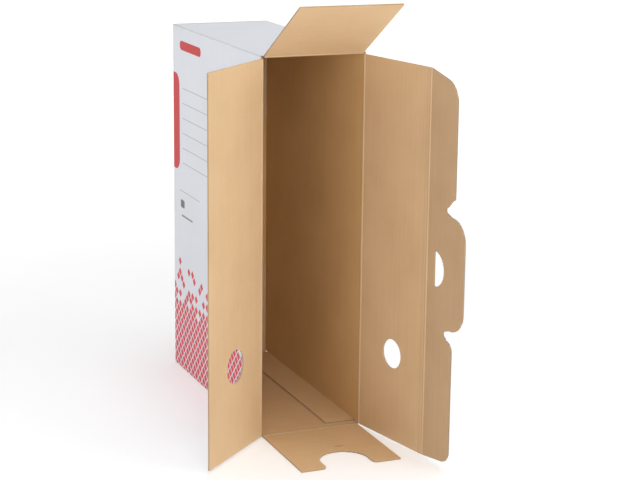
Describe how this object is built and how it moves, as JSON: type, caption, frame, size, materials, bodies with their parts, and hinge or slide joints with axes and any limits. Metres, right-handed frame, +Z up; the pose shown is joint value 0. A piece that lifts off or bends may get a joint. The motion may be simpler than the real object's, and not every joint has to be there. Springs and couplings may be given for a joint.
{
  "type": "archive box",
  "caption": "Narrow upright archive box of folded corrugated board, white outside and brown inside, open at one narrow side with four creased closing flaps, finger holes and a tuck panel.",
  "frame": {"origin": "centre of the closed box's footprint, on the ground under the bottom wall", "axes": "+Z is up. The open narrow side with its flaps faces -Y and the spine faces +Y. +X is to the right seen from the opening."},
  "size_m": [0.1976, 0.4043, 0.4012],
  "materials": {
    "brown_board": "matte",
    "white_facing": "matte",
    "dried_glue": "satin"
  },
  "bodies": {
    "carton": {"left_wall": "brown_board", "left_wall_facing": "white_facing", "right_wall": "brown_board", "right_wall_facing": "white_facing", "top_wall": "brown_board", "top_wall_facing": "white_facing", "bottom_wall": "brown_board", "bottom_wall_facing": "white_facing", "glue_flap": "brown_board", "glue_flap_facing": "white_facing", "seam_glue": "dried_glue", "spine_outer_flap": "brown_board", "spine_outer_facing": "white_facing", "spine_inner_flap": "brown_board", "spine_inner_facing": "white_facing", "spine_top_flap": "brown_board", "spine_top_facing": "white_facing", "spine_bottom_flap": "brown_board", "spine_bottom_facing": "white_facing", "spine_panel_glue": "dried_glue", "spine_flap_glue": "dried_glue"},
    "left_flap": {"left_flap": "brown_board", "left_flap_facing": "white_facing"},
    "right_flap": {"right_flap": "brown_board", "right_flap_facing": "white_facing"},
    "tuck_panel": {"tuck_panel": "brown_board", "tuck_panel_facing": "white_facing"},
    "top_flap": {"top_flap": "brown_board", "top_flap_facing": "white_facing"},
    "bottom_flap": {"bottom_flap": "brown_board", "bottom_flap_facing": "white_facing"}
  },
  "joints": [
    {"name": "left_flap_crease", "type": "hinge", "parent": "carton", "child": "left_flap", "pos_m": [-0.05, -0.125, 0], "axis": [0, 0, -1], "range_deg": [-137.5, 42.5]},
    {"name": "right_flap_crease", "type": "hinge", "parent": "carton", "child": "right_flap", "pos_m": [0.05, -0.1232, 0], "axis": [0, 0, 1], "range_deg": [-101.5, 18.5], "deforming": ["tuck_panel", "tuck_panel_facing"]},
    {"name": "top_flap_crease", "type": "hinge", "parent": "carton", "child": "top_flap", "pos_m": [0, -0.1214, 0.35], "axis": [-1, 0, 0], "range_deg": [-121.5, 58.5]},
    {"name": "bottom_flap_crease", "type": "hinge", "parent": "carton", "child": "bottom_flap", "pos_m": [0, -0.1214, 0], "axis": [1, 0, 0], "range_deg": [-90, 0]},
    {"name": "tuck_crease", "type": "hinge", "parent": "right_flap", "child": "tuck_panel", "pos_m": [0.06958, -0.21943, 0], "axis": [0, 0, 1], "range_deg": [-84.1, 15.5]}
  ],
  "couplings": [
    {"joint": "tuck_crease", "follows": "right_flap_crease", "ratio": 0.8275}
  ]
}
